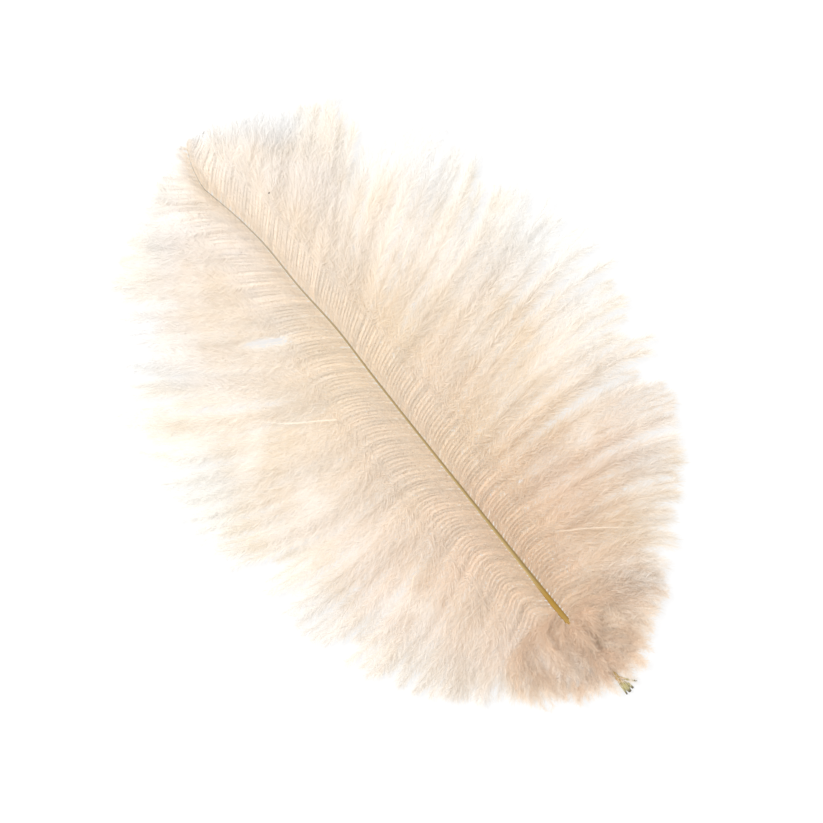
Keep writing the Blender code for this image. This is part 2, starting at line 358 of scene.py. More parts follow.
class BarbRow:
    """A row of barbs, each bent at an elbow, with a slight wave, its tip drawn into a lock."""

    def __init__(self, corners, pull, wave, phase, lift):
        self.corners = corners  # seven arrays of n x 3: root, two handles, elbow, two handles, tip
        self.pull = pull  # how far the tip is drawn aside, towards the middle of its lock
        self.wave, self.phase = wave, phase
        self.lift = lift  # how far the middle is raised
        self.fluff_from = np.zeros(len(wave))  # share of the length where the barbules start
        inner = np.linalg.norm(corners[3] - corners[0], axis=1)
        outer = np.linalg.norm(corners[6] - corners[3], axis=1)
        self.elbow_at = inner / (inner + outer)
        every = np.arange(len(wave))
        steps = np.linspace(0, 1, 33)
        line = np.stack([self.bare(every, np.full(len(every), t)) for t in steps], axis=1)
        run = np.cumsum(np.linalg.norm(np.diff(line, axis=1), axis=2), axis=1)
        run = np.column_stack([np.zeros(len(every)), run])
        self.reach = run[:, -1]
        self.shares = run / run[:, -1:]

    def bare(self, i, t):
        """Places on the two curves of barbs i, before the wave, the pull and the lift."""
        split = self.elbow_at[i]
        inner = t < split
        u = np.where(inner, t / split, (t - split) / (1 - split))[:, None]
        a, b, c, d = (
            np.where(inner[:, None], self.corners[k][i], self.corners[k + 3][i]) for k in range(4)
        )
        return (1 - u)**3 * a + 3 * (1 - u)**2 * u * b + 3 * (1 - u) * u**2 * c + u**3 * d

    def at(self, i, share):
        """Places on barbs i at shares of their length, and the directions there."""
        i, share = np.asarray(i), np.asarray(share, dtype=float)
        known = self.shares[i]
        last = known.shape[1] - 1
        k = np.clip((known < share[:, None]).sum(axis=1), 1, last)
        pick = np.arange(len(i))
        low, high = known[pick, k - 1], known[pick, k]
        t = (k - 1 + (share - low) / (high - low)) / last
        place, ahead = self._waved(i, t), self._waved(i, t + 0.01)
        return place, unit(ahead - place)

    def _waved(self, i, t):
        """Places on barbs i with their wave, pull and lift."""
        place = self.bare(i, t)
        along = unit(self.corners[6][i] - self.corners[3][i])
        across = unit(np.cross(along, UP))
        swing = self.wave[i] * t * np.sin(2 * math.pi * (1.3 * t + self.phase[i]))
        bob = 0.35 * self.wave[i] * t * np.sin(2 * math.pi * (1.9 * t + self.phase[i] * 3))
        place = place + across * swing[:, None]
        place = place + self.pull[i] * smooth_step(0.5, 1.0, t)[:, None]
        place[:, 2] += bob + self.lift[i] * np.sin(math.pi * np.clip(t, 0, 1)) ** 2
        return place


def barb_course(root, root_way, run, elbow, elbow_way, tip, tip_way):
    """The seven corners of barbs that leave their roots one way and turn at an elbow."""
    inner = np.linalg.norm(elbow - root, axis=1)[:, None]
    outer = np.linalg.norm(tip - elbow, axis=1)[:, None]
    return [
        root, root + root_way * np.minimum(run, 0.45 * inner), elbow - elbow_way * 0.38 * inner,
        elbow, elbow + elbow_way * np.minimum(0.33 * outer, 0.6 * inner),
        tip - tip_way * 0.36 * outer, tip,
    ]


def settle(points, floor=0.12, ease_from=0.6):
    """Keeps fluff off the surface it lies on, easing it flat instead of cutting it."""
    low = points[:, 2] < ease_from
    points[low, 2] = floor + (ease_from - floor) * np.exp((points[low, 2] - ease_from) / 0.9)
    return points


def vane_row(side, settings, rng):
    """The whole row of barbs down one side of the shaft, with the stations of their roots."""
    sign = 1 if side == "right" else -1
    table = RIGHT_BARBS if side == "right" else LEFT_BARBS
    first_root, last_root = table[0][0], table[-1][0]
    count = int((last_root - first_root) / (settings.barb_pitch / MM))
    station = np.linspace(first_root, last_root, count)
    station = station + rng.uniform(-ROOT_STRAY, ROOT_STRAY, count) * settings.barb_pitch / MM
    widths = rng.uniform(0.65, 1.35, MOST_LOCKS) * settings.lock_width / MM
    edges = first_root + np.concatenate([[0], np.cumsum(widths)])
    lock = np.clip(np.searchsorted(edges, station, side="right") - 1, 0, len(widths) - 1)
    middle = np.clip((edges[lock] + edges[lock + 1]) / 2, first_root, last_root)

    def lock_random(low, high):
        """One draw a lock, the same for all its barbs."""
        return rng.uniform(low, high, len(widths))[lock]

    def column(number, at=station):
        """One column of the table, at the given stations."""
        return through(table, at, number)

    root_x = through(SHAFT_SWAY, station) + sign * (through(SHAFT_HALF_WIDTH, station) * 0.8)
    root = np.stack([root_x, station, through(SHAFT_ARCH, station) + 0.05], axis=1)
    own_tip = np.stack([sign * column(TIP_X), column(TIP_S)], axis=1)
    lock_tip = np.stack([sign * column(TIP_X, middle), column(TIP_S, middle)], axis=1)
    ease = smooth_step(0, LOOSE_BY, station)
    reach = FULL_REACH + ease * (lock_random(-0.04, 0.0) - rng.exponential(SHORTFALL, count))
    tip = root[:, :2] + (own_tip - root[:, :2]) * reach[:, None]
    tip = np.column_stack([tip, rng.uniform(0.7, 1.6, count) + lock_random(0, 1.3) * ease])
    gather = lock_random(0.0, 0.27) * settings.lock_gather * ease
    pull = np.column_stack([(lock_tip - own_tip) * gather[:, None], np.zeros(count)])

    root_way = heading(column(ROOT_ANGLE) + rng.normal(0, 1.5, count), sign)
    lock_turn = ease * lock_random(-1.5, 1.5)
    tip_way = heading(column(TIP_ANGLE) + lock_turn + rng.normal(0, 5.5, count), sign)
    elbow_way = heading(column(ELBOW_ANGLE) + rng.normal(0, 2.0, count), sign)
    crown = root[:, 2] + 0.7 * ease
    elbow = np.column_stack([
        root[:, 0] + sign * column(ELBOW_OUT),
        station - column(ELBOW_UP) + rng.normal(0, 0.12, count),
        crown + 0.3 * ease + ease * lock_random(-0.15, 0.2),
    ])
    corners = barb_course(
        root, root_way, settings.root_run / MM, elbow, elbow_way, tip, tip_way)
    corners[1][:, 2] = crown
    corners[2][:, 2] = elbow[:, 2]
    corners[4][:, 2] = elbow[:, 2] - 0.2 * ease
    lock_height = 0.45 * crown + 1.2 + ease * lock_random(-0.8, 1.0)
    corners[5][:, 2] = lock_height + rng.normal(0, 0.2, count)
    length = np.linalg.norm(tip - root, axis=1)
    wave = rng.uniform(0.2, 1.0, count) * np.minimum(length / 60, 1)
    lift = ease * lock_random(-0.2, 0.7)
    row = BarbRow(corners, pull, wave, rng.uniform(0, 1, count), lift)
    row.station = station
    return row


def surface_height(row, x, s, near=1.8, steps=90):
    """How high the barbs of a row lie at a place."""
    every = np.arange(len(row.wave))
    height = 0.0
    for share in np.linspace(0, 1, steps):
        place, _ = row.at(every, np.full(len(every), share))
        close = np.hypot(place[:, 0] - x, place[:, 1] - s) < near
        if close.any():
            height = max(height, place[close, 2].max())
    return height


def add_rami(soup, row, chosen, steps=16, half_width=0.12, foot_width=0.34):
    """The barbs' own stems: thin strips with a raised ridge, broad at the root, fine at the tip."""
    t = np.linspace(0, 1, steps) ** 1.4
    n = len(chosen)
    i = np.repeat(chosen, steps)
    shares = np.tile(t, n)
    place, along = row.at(i, shares * 0.985)
    across = unit(np.cross(along, UP))
    run = shares * row.reach[i]
    foot = np.minimum(foot_width, 1.3 * through(SHAFT_HALF_WIDTH, row.corners[0][i, 1]))
    taper = 1 - 0.82 * shares
    width = (half_width * taper + (foot - half_width) * np.exp(-run / 2.2))[:, None]
    ridge = place.copy()
    ridge[:, 2] += 0.5 * half_width * taper
    points = np.stack([place - across * width, ridge, place + across * width], axis=1)
    points = settle(points.reshape(-1, 3))
    base = (np.arange(n)[:, None] * steps + np.arange(steps - 1)).ravel() * 3
    faces = [
        base[:, None] + np.array(pattern)
        for pattern in ((0, 3, 4), (0, 4, 1), (1, 4, 5), (1, 5, 2))
    ]
    strip = (np.arange(n) + 0.5) / n
    u = np.tile(np.repeat(t, 3), n)
    v = np.repeat(strip, steps * 3) + np.tile([-0.3 / n, 0, 0.3 / n], n * steps)
    soup.add(points, np.concatenate(faces), np.column_stack([u, v]))


def inside_parting(points, rng):
    """True for places in the see-through partings between locks."""
    found = np.zeros(len(points), dtype=bool)
    for x, s, half_length, half_width, angle in PARTINGS:
        turn = math.radians(angle)
        dx, ds = points[:, 0] - x, points[:, 1] - s
        far = (dx * math.sin(turn) - ds * math.cos(turn)) / half_length
        aside = (dx * math.cos(turn) + ds * math.sin(turn)) / half_width
        found |= far ** 2 + aside ** 2 < rng.uniform(0.5, 1.5, len(points))  # a frayed edge
    return found


def over_shaft(points, bare_end):
    """True for fluff that would lie over the bare part of the shaft."""
    aside = np.abs(points[:, 0] - through(SHAFT_SWAY, points[:, 1]))
    bare = points[:, 1] < bare_end
    return bare & (aside < 0.85 * through(SHAFT_HALF_WIDTH, points[:, 1]))


def add_barbules(soup, row, chosen, rng, per_mm, look):
    """The fluff: bent, tapering barbules down both sides of every chosen barb."""
    number = np.maximum((row.reach[chosen] * per_mm).astype(int), 4)
    total = int(number.sum())
    order = np.repeat(np.arange(len(chosen)), number)
    i = chosen[order]
    within = np.arange(total) - np.repeat(np.cumsum(number) - number, number)
    t = (within + rng.uniform(0, 1, total)) / number[order]
    t = np.clip(t ** look["crowd"], 0.0, 0.995)
    side = np.where(rng.uniform(0, 1, total) < 0.5, -1.0, 1.0)
    run = t * row.reach[i]
    near = 1 - smooth_step(look["ridge_end"] * 0.5, look["ridge_end"] * 1.3, run)
    far = 1 - near
    sleek = 1 - smooth_step(look["sleek"] * 0.6, look["sleek"] * 1.4, run)
    tip = smooth_step(0.72, 1.0, t)

    length = look["near"] + (look["far"] - look["near"]) * far
    length = length * (1 - 0.15 * sleek) * (1 - 0.25 * tip) * rng.uniform(0.5, 1.2, total)
    lean = LEAN_NEAR * near + LEAN_FAR * far - LEAN_TIP * tip - LEAN_SLEEK * sleek
    angle = np.radians(lean + rng.normal(0, 1, total) * (LEAN_SCATTER + LEAN_MORE * far))
    droop = -DROOP * near * (1 - sleek)
    roll = np.radians(droop + rng.normal(0, 1, total) * (ROLL_SCATTER + ROLL_MORE * far))

    place, along = row.at(i, t)
    across = unit(np.cross(along, UP))
    up = np.cross(across, along)
    out = across * (side * np.cos(roll))[:, None] + up * np.sin(roll)[:, None]
    first = along * np.cos(angle)[:, None] + out * np.sin(angle)[:, None]
    stray = rng.normal(0, 1, (total, 3)) * (look["tangle"] * (1 - 0.8 * near))[:, None]
    second = first * 0.7 + along * 0.4 + stray
    second[:, 2] -= 0.15
    second = unit(second)
    half = (length * 0.5)[:, None]
    middle = place + first * half
    end = middle + second * half
    flat = unit(np.cross(first, UP) + rng.normal(0, 0.35, (total, 3)))
    width = look["near_width"] * near + look["far_width"] * far
    wide = flat * (width * 0.5 * rng.uniform(0.7, 1.2, total))[:, None]
    kept = t > row.fluff_from[i]
    bare_end = rng.uniform(BARE_END, HIDDEN_FROM, total)
    for points in (place, middle, end):
        kept &= ~(inside_parting(points, rng) | over_shaft(points, bare_end))
    n = len(chosen)
    broad, fine = kept & (near >= 0.5), kept & (near < 0.5)
    narrower = wide * 0.8
    strips = np.stack([place - wide, place + wide, middle - narrower, middle + narrower, end], 1)
    add_slips(soup, strips[broad], ((0, 1, 3), (0, 3, 2), (2, 3, 4)), t[broad], order[broad], n)
    leaves = np.stack([place, middle - wide, middle + wide, end], 1)
    add_slips(soup, leaves[fine], ((0, 1, 2), (1, 3, 2)), t[fine], order[fine], n)


def add_slips(soup, points, pattern, share, strip, strips):
    """Slips of a few triangles each, mapped onto the strip of the barb that they grow from."""
    count, corners = points.shape[:2]
    base = np.arange(count) * corners
    faces = np.concatenate([base[:, None] + np.array(three) for three in pattern])
    u = np.clip(share[:, None] + np.where(np.arange(corners) % 2, 0.012, -0.012), 0, 1)
    v = (strip[:, None] + np.linspace(0.12, 0.88, corners)) / strips
    soup.add(settle(points.reshape(-1, 3)), faces, np.column_stack([u.ravel(), v.ravel()]))


def new_material(name):
    """An empty node material, with its nodes and links."""
    made = bpy.data.materials.new(name)
    made.use_nodes = True
    made.node_tree.nodes.clear()
    return made, made.node_tree.nodes, made.node_tree.links


def ramp(nodes, links, value, stops):
    """The colour for a value, from a ramp through (place, colour) stops."""
    node = nodes.new("ShaderNodeValToRGB")
    points = node.color_ramp.elements
    while len(points) < len(stops):
        points.new(0.5)
    for point, (place, color) in zip(points, stops):
        point.position = place
        point.color = (*color, 1)
    links.new(value, node.inputs["Fac"])
    return node.outputs["Color"]


def noise(nodes, links, vector, scale, detail):
    """Cloudy noise over the given vector."""
    node = nodes.new("ShaderNodeTexNoise")
    node.inputs["Scale"].default_value = scale
    node.inputs["Detail"].default_value = detail
    links.new(vector, node.inputs["Vector"])
    return node.outputs["Fac"]


def stretched_noise(nodes, links, vector, stretch, detail):
    """A grain drawn out along one direction of the given vector."""
    mapping = nodes.new("ShaderNodeMapping")
    mapping.inputs["Scale"].default_value = stretch
    links.new(vector, mapping.inputs["Vector"])
    return noise(nodes, links, mapping.outputs[0], 1.0, detail)


def map_range(nodes, links, value, start, end, low, high):
    """Carries start..end over to low..high."""
    node = nodes.new("ShaderNodeMapRange")
    limits = {"From Min": start, "From Max": end, "To Min": low, "To Max": high}
    for socket, limit in limits.items():
        node.inputs[socket].default_value = limit
    links.new(value, node.inputs["Value"])
    return node.outputs[0]


def mix_color(nodes, links, blend, factor, first, second):
    """factor and second may each be a plain value or a socket."""
    node = nodes.new("ShaderNodeMix")
    node.data_type = "RGBA"
    node.blend_type = blend
    for socket, value in (("Factor", factor), (6, first), (7, second)):
        if isinstance(value, bpy.types.NodeSocket):
            links.new(value, node.inputs[socket])
        else:
            node.inputs[socket].default_value = value
    return node.outputs[2]


def uv_parts(nodes, links):
    """The bake map's vector, and its two parts."""
    uv = nodes.new("ShaderNodeUVMap")
    uv.uv_map = BAKE_MAP
    split = nodes.new("ShaderNodeSeparateXYZ")
    links.new(uv.outputs["UV"], split.inputs[0])
    return uv.outputs["UV"], split.outputs["X"], split.outputs["Y"]


def principled(nodes, roughness, specular):
    """A plain shader with the given finish."""
    shader = nodes.new("ShaderNodeBsdfPrincipled")
    shader.inputs["Roughness"].default_value = roughness
    shader.inputs["Specular IOR Level"].default_value = specular
    return shader


def link_output(nodes, links, shader):
    """Gives the material its surface."""
    out = nodes.new("ShaderNodeOutputMaterial")
    links.new(shader.outputs[0], out.inputs["Surface"])


def barb_material(name, stops, patch_color, strips, translucence, foot_tint_and_light=FOOT_TINT_AND_TIP_LIGHT):
    """Soft keratin: paler from root to tip, browner towards the foot, each barb a little apart, with painted light in
    near-white patches on the outer parts and in a lifted band near the tip.
    """
    made, nodes, links = new_material(name)
    uv, share, _ = uv_parts(nodes, links)
    along = ramp(nodes, links, share, stops)
    streaks = stretched_noise(nodes, links, uv, (2.0, strips * 0.5, 1.0), 2.0)
    shade = map_range(nodes, links, streaks, 0.3, 0.7, 0.92, 1.04)
    color = mix_color(nodes, links, "MULTIPLY", 1.0, along, shade)

    where = nodes.new("ShaderNodeTexCoord")
    place = nodes.new("ShaderNodeSeparateXYZ")
    links.new(where.outputs["Object"], place.inputs[0])
    down_length = map_range(
        nodes, links, place.outputs["Y"], SHAFT_LOW.y, SHAFT_HIGH.y, 0.0, 1.0)
    # The tint browns the foot, the feather's own colour, and near the tip lifts the colour as painted light against
    # the shade among the barbs
    tint = ramp(nodes, links, down_length, foot_tint_and_light)
    tint_share = map_range(nodes, links, share, 0.0, 1.0, 1.0, 0.5)
    color = mix_color(nodes, links, "MULTIPLY", tint_share, color, tint)

    patches = noise(nodes, links, where.outputs["Object"], 38.0, 3.0)
    spread = map_range(nodes, links, patches, 0.45, 0.75, 0.0, 0.4)
    color = mix_color(nodes, links, "MIX", spread, color, (*patch_color, 1))
    # Painted light: random near-white patches on the outer parts of the barbs stand in for the bright floor seen
    # through thin fluff
    see_through_noise = noise(nodes, links, where.outputs["Object"], 62.0, 2.0)
    pale = map_range(nodes, links, see_through_noise, 0.48, 0.72, 0.0, 0.6)
    outward = map_range(nodes, links, share, 0.2, 0.55, 0.0, 1.0)
    both_ways = nodes.new("ShaderNodeMath")
    both_ways.operation = "MULTIPLY"
    links.new(pale, both_ways.inputs[0])
    links.new(outward, both_ways.inputs[1])
    color = mix_color(nodes, links, "MIX", both_ways.outputs[0], color, (*PAINTED_SEE_THROUGH_LIGHT, 1))

    shader = principled(nodes, 0.75, 0.25)
    links.new(color, shader.inputs["Base Color"])
    glow = nodes.new("ShaderNodeBsdfTranslucent")
    links.new(color, glow.inputs["Color"])
    both = nodes.new("ShaderNodeMixShader")
    both.inputs["Fac"].default_value = translucence
    links.new(shader.outputs[0], both.inputs[1])
    links.new(glow.outputs[0], both.inputs[2])
    link_output(nodes, links, both)
    return made


def horn_shader(nodes, links, color, grain):
    """Satin horn with a fine grain, linked to the material's output."""
    bump = nodes.new("ShaderNodeBump")
    bump.inputs["Strength"].default_value = 0.15
    bump.inputs["Distance"].default_value = 0.0001
    links.new(grain, bump.inputs["Height"])
    shader = principled(nodes, 0.42, 0.25)
    links.new(color, shader.inputs["Base Color"])
    links.new(bump.outputs[0], shader.inputs["Normal"])
    link_output(nodes, links, shader)


def horn_material():
    """The shaft: golden horn with a dark pith line, pale edges and a greyer, thin tip."""
    made, nodes, links = new_material("golden_horn")
    uv, share, strip = uv_parts(nodes, links)
    around = ramp(nodes, links, strip, [
        (0.0, (0.58, 0.44, 0.25)), (0.10, (0.46, 0.33, 0.15)), (0.18, (0.18, 0.115, 0.04)),
        (0.24, (0.42, 0.29, 0.11)), (0.30, (0.40, 0.28, 0.11)), (0.38, (0.56, 0.41, 0.20)),
        (0.5, (0.62, 0.48, 0.28)),
    ])
    length_tint = ramp(nodes, links, share, [
        (0.0, (0.48, 0.43, 0.35)), (0.12, (0.40, 0.34, 0.27)), (0.3, (0.34, 0.28, 0.20)),
        (0.5, (0.31, 0.245, 0.16)), (0.7, (0.33, 0.23, 0.09)), (0.83, (0.38, 0.215, 0.03)),
        (0.92, (0.46, 0.32, 0.12)),
    ])
    plain_share = ramp(nodes, links, share, [
        (0.0, (1.0,) * 3), (0.2, (0.75,) * 3), (0.4, (0.35,) * 3), (0.6, (0.2,) * 3),
        (0.78, (0.1,) * 3), (0.82, (0.95,) * 3),
    ])
    color = mix_color(nodes, links, "MIX", plain_share, around, length_tint)
    grain = stretched_noise(nodes, links, uv, (24.0, 30.0, 1.0), 4.0)
    shade = map_range(nodes, links, grain, 0.3, 0.7, 0.78, 1.12)
    color = mix_color(nodes, links, "MULTIPLY", 1.0, color, shade)
    horn_shader(nodes, links, color, grain)
    return made


def frayed_material():
    """The split end of the quill: tan, then olive, with dark, weathered tips."""
    made, nodes, links = new_material("frayed_horn")
    uv, share, _ = uv_parts(nodes, links)
    along = ramp(nodes, links, share, [
        (0.0, (0.42, 0.26, 0.13)), (0.35, (0.52, 0.36, 0.17)), (0.6, (0.46, 0.40, 0.17)),
        (0.82, (0.50, 0.45, 0.24)), (0.93, (0.17, 0.14, 0.08)), (1.0, (0.08, 0.07, 0.05)),
    ])
    grain = stretched_noise(nodes, links, uv, (5.0, 9.0, 1.0), 5.0)
    shade = map_range(nodes, links, grain, 0.3, 0.7, 0.6, 1.25)
    color = mix_color(nodes, links, "MULTIPLY", 1.0, along, shade)
    horn_shader(nodes, links, color, grain)
    return made


def dirt_material():
    """A crumb of dark dirt."""
    made, nodes, links = new_material("dark_dirt")
    where = nodes.new("ShaderNodeTexCoord")
    grit = noise(nodes, links, where.outputs["Object"], 6000.0, 2.0)
    tone = ramp(nodes, links, grit, [(0.35, (0.015, 0.012, 0.010)), (0.7, (0.07, 0.05, 0.035))])
    shader = principled(nodes, 0.85, 0.5)
    links.new(tone, shader.inputs["Base Color"])
    link_output(nodes, links, shader)
    return made


def loft(soup, rings, u_values):
    """A closed skin over rings of equal count; map places run (u, share round the ring)."""
    rings = np.asarray(rings, dtype=float)
    rows, count = rings.shape[:2]
    row, column = np.meshgrid(np.arange(rows - 1), np.arange(count))
    a = (row * count + column).ravel()
    b = (row * count + (column + 1) % count).ravel()
    faces = np.concatenate([
        np.column_stack([a, a + count, b + count]), np.column_stack([a, b + count, b]),
    ])
    u = np.repeat(u_values, count)
    v = np.tile(np.arange(count) / count, rows)
    soup.add(rings.reshape(-1, 3), faces, np.column_stack([u, v]))
    cap(soup, rings[0], u_values[0], True)
    cap(soup, rings[-1], u_values[-1], False)


def cap(soup, ring, u, flip):
    """Closes the end of a loft with a fan."""
    count = len(ring)
    k = np.arange(count)
    fan = np.column_stack([k, (k + 1) % count, np.full(count, count)])
    if flip:
        fan = fan[:, ::-1]
    places = np.column_stack([np.full(count + 1, u), np.append(k / count, 0.5)])
    soup.add(np.vstack([ring, ring.mean(axis=0)]), fan, places)


def shaft_rings(stations, sides, groove_depth):
    """Oval sections of the shaft, with a groove on top that fades out towards the quill."""
    angle = 2 * math.pi * np.arange(sides) / sides
    sway = through(SHAFT_SWAY, stations)[:, None]
    height = through(SHAFT_ARCH, stations)[:, None]
    half_width = through(SHAFT_HALF_WIDTH, stations)[:, None]
    half_height = through(SHAFT_HALF_HEIGHT, stations)[:, None]
    depth = groove_depth * (1 - smooth_step(168, 184, stations))[:, None]
    top = np.exp(-(((angle - math.pi / 2) / 0.30) ** 2))[None]
    level = np.sin(angle)[None] - depth * top
    x = sway + half_width * np.cos(angle)[None]
    z = np.maximum(height + half_height * level, 0.03)
    s = np.broadcast_to(stations[:, None], x.shape)
    return np.stack([x, s, z], axis=2)


def add_splinter(soup, splinter, sides):
    """One splinter of the quill's end: a thin, bent strip that tapers to a ragged tip."""
    path = np.array(splinter["path"], dtype=float)
    keys = np.linspace(0, 1, len(path))
    share = np.linspace(0, 1, 16)
    line = np.stack([
        through(np.column_stack([keys, path[:, k]]), share) for k in range(3)
    ], axis=1)
    along = unit(np.gradient(line, axis=0))
    across = unit(np.cross(along, UP))
    up = np.cross(across, along)
    half = through(splinter["half_width"], share)[:, None, None]
    angle = 2 * math.pi * np.arange(sides) / sides
    round_x, round_z = np.cos(angle)[None, :, None], np.sin(angle)[None, :, None]
    thick = splinter["half_thickness"]
    curl = splinter["curl"] * half * (round_x**2 - 0.5)
    rise = up[:, None] * (thick * round_z + curl)
    rings = line[:, None] + across[:, None] * half * round_x + rise
    rings[:, :, 2] = np.maximum(rings[:, :, 2], 0.02)
    loft(soup, rings, share)


def add_pebble(soup, middle, size, rng):
    """A lumpy crumb."""
    levels, sides = 7, 10
    rings = []
    for level in range(levels):
        rise = math.pi * (level + 0.5) / levels
        bumps = 1 + rng.uniform(-0.28, 0.28, sides)
        angle = 2 * math.pi * np.arange(sides) / sides
        ring = np.stack([
            np.cos(angle) * math.sin(rise) * bumps, np.sin(angle) * math.sin(rise) * bumps * 0.8,
            np.full(sides, math.cos(rise) * 0.6),
        ], axis=1)
        rings.append(np.array(middle) + ring * size / 2)
    loft(soup, rings, np.linspace(0, 1, levels))


def tuft_row(barbs, rng):
    """Downy barbs in listed tufts that fan back over the quill."""
    table = np.array(TUFTS, dtype=float)
    share = table[:, 7] / table[:, 7].sum()
    counts = np.maximum((share * barbs).astype(int), 3)
    tuft = np.repeat(np.arange(len(table)), counts)
    count = len(tuft)
    aside = rng.uniform(-1, 1, count)
    root, elbow, tip = table[tuft, 0:2], table[tuft, 2:4], table[tuft, 4:6]
    way = unit(tip - root)
    across = np.column_stack([way[:, 1], -way[:, 0]])
    half = table[tuft, 7]
    root = root + across * (aside * half * 0.3)[:, None] + rng.normal(0, 0.4, (count, 2))
    elbow = elbow + across * (aside * half)[:, None] + rng.normal(0, 0.7, (count, 2))
    tip = tip + across * (aside * half * 0.8 + rng.normal(0, 1.4, count))[:, None]
    tip = tip + way * (2.0 - rng.exponential(2.6, count))[:, None]
    height = table[tuft, 6] - 0.9 * aside**2 + rng.normal(0, 0.35, count)
    root = np.column_stack([root, through(SHAFT_ARCH, root[:, 1]) + rng.uniform(-0.3, 0.6, count)])
    elbow = np.column_stack([elbow, height])
    tip = np.column_stack([tip, rng.uniform(0.8, 2.2, count) + 0.12 * height])
    root_way = unit(elbow - root + np.column_stack([
        rng.normal(0, 1.2, count), rng.normal(-0.5, 0.8, count), np.full(count, 1.5)]))
    flat = np.array([1, 1, 0.25])
    elbow_way = unit((tip - root) * flat)
    tip_way = unit((tip - elbow) * flat + rng.normal(0, 2.5, (count, 3)) * flat)
    corners = barb_course(root, root_way, 2.5, elbow, elbow_way, tip, tip_way)
    row = BarbRow(
        corners, np.zeros((count, 3)), rng.uniform(0.3, 1.1, count), rng.uniform(0, 1, count),
        rng.uniform(0, 0.6, count))
    row.fluff_from = rng.uniform(0, 1, count) * np.where(np.abs(elbow[:, 0] + 1) > 8, 0.6, 0.1)
    return row


def length(name, description, millimetres):
    """A length that a user may change."""
    return bpy.props.FloatProperty(
        name=name, description=description, default=millimetres * MM, unit="LENGTH",
        subtype="DISTANCE", precision=6)


def number(name, description, default, low, high):
    """A plain number that a user may change."""
    return bpy.props.FloatProperty(
        name=name, description=description, default=default, min=low, max=high)


def picked_color(name, description, default):
    """A colour that a user may change."""
    return bpy.props.FloatVectorProperty(
        name=name, description=description, default=default, size=3, min=0, max=1,
        subtype="COLOR")


class ShaftSettings(bpy.types.PropertyGroup):
    """What a maker would change on the shaft."""
    groove_depth: number(
        "Groove Depth", "Depth of the groove, as a share of half the height", 0.35, 0.0, 0.8)
    sides: bpy.props.IntProperty(
        name="Sides", description="Number of faces round the shaft", default=24, min=8, max=64)


class VaneSettings(bpy.types.PropertyGroup):
    """What a maker would change on the two vanes."""
    barb_pitch: length("Barb Pitch", "Spacing of the barbs along the shaft", 1.27)
    root_run: length("Root Run", "How far a barb keeps its first direction", 4.5)
    lock_width: length("Lock Width", "Usual width of a lock of barbs at the shaft", 3.3)
    lock_gather: number(
        "Lock Gather", "How far the tips of a lock are drawn together", 1.0, 0.0, 1.3)
    density: number(
        "Barbules per Millimetre", "Barbules on one millimetre of barb", 20.5, 1.0, 30.0)
    near_reach: length("Reach near the Shaft", "Length of the barbules in the ridged zone", 2.1)
    far_reach: length("Reach in the Fluff", "Length of the barbules in the fluffy zone", 5.6)
    barbule_width: length("Barbule Width", "Width of a bunch of barbules at its root", 0.17)
    root_color: picked_color(
        "Root Colour", "Colour of the barbs beside the shaft", (0.895, 0.81, 0.70))
    tip_color: picked_color(
        "Tip Colour", "Colour of the barbs at their tips", (0.975, 0.95, 0.93))


class DownSettings(bpy.types.PropertyGroup):
    """What a maker would change on the down at the foot."""
    barbs: bpy.props.IntProperty(
        name="Barbs", description="Number of short downy barbs", default=262, min=40, max=400)
    density: number(
        "Barbules per Millimetre", "Barbules on one millimetre of barb", 13.0, 1.0, 30.0)
    color: picked_color(
        "Colour", "Colour of the down where it is densest", (0.95, 0.885, 0.81))


class StageSettings(bpy.types.PropertyGroup):
    """Floor, lights and camera."""
    sky: number("Sky", "Strength of the even light from all round", 0.96, 0.0, 5.0)
    floor_glow: number(
        "Floor Glow", "How much the light table under the feather shines", 0.7, 0.0, 2.0)
    key: bpy.props.FloatProperty(
        name="Key Light", description="Power of the large soft light",
        default=9.4, min=0.0, max=100.0, unit="POWER")
    lens: bpy.props.FloatProperty(
        name="Lens", description="Focal length of the camera", default=100.0, min=10.0)
    view_width: length("View Width", "Width that the camera sees at the feather", 259.2)


class FEATHER_OT_shaft(bpy.types.Operator):
    """Make the grooved shaft"""
    bl_idname = "feather.shaft"
    bl_label = "Shaft"

    def execute(self, context):
        settings = context.scene.feather_shaft
        stations = np.concatenate([np.linspace(0.2, 40, 60), np.linspace(40.8, SHAFT_END, 150)])
        rings = shaft_rings(stations, settings.sides, settings.groove_depth)
        soup = Soup()
        loft(soup, rings, stations / LENGTH)
        shaft = soup.make("rachis_and_quill", horn_material(), smooth=True)
        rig.ride(shaft, "root")
        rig.replaces(shaft, "shaft")
        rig.slot(shaft, "horn")
        return {"FINISHED"}


